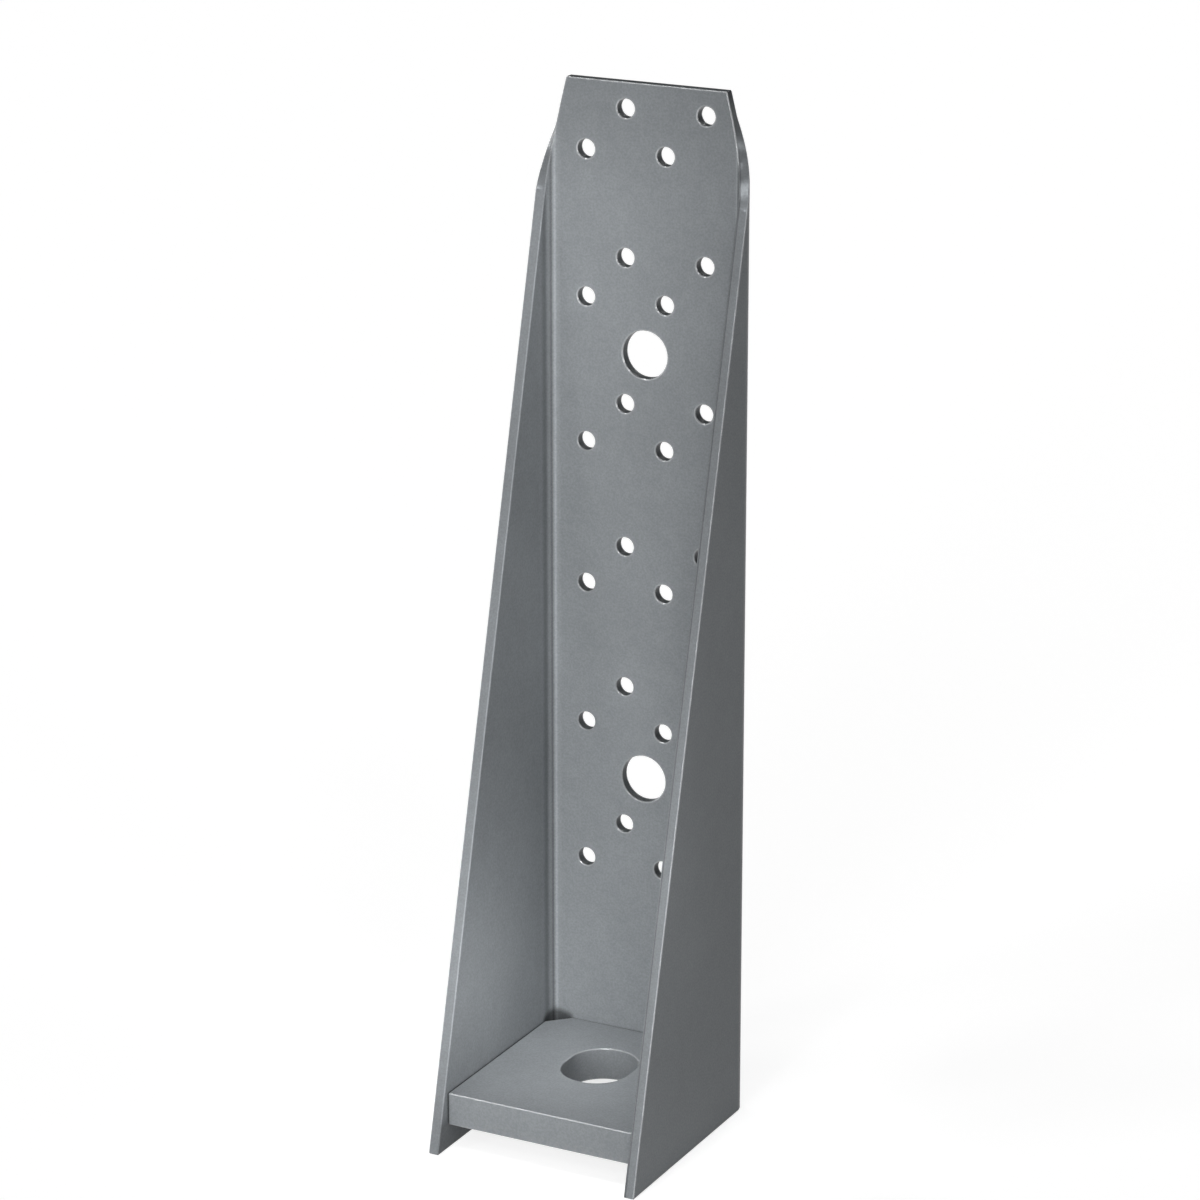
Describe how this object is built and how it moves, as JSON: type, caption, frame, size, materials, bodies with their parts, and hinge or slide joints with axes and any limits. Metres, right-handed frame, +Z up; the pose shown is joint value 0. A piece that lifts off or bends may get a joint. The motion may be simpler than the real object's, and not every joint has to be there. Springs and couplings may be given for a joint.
{
  "type": "hold-down bracket",
  "caption": "Tapered channel bracket with screw holes in its back plate and a thick slotted seat plate near the foot, for tying a post to an anchor rod.",
  "frame": {"origin": "centre of the footprint at the level of the foot", "axes": "X across the width, +Y towards the back plate and the post, the open side faces -Y, +Z up the post"},
  "size_m": [0.0842, 0.0937, 0.3842],
  "materials": {
    "body_paint": "satin grey paint",
    "seat_paint": "satin grey paint",
    "weld_paint": "satin grey paint"
  },
  "bodies": {
    "root": {"body": "body_paint", "seat_plate": "seat_paint", "weld_right": "weld_paint", "weld_left": "weld_paint"}
  },
  "joints": []
}
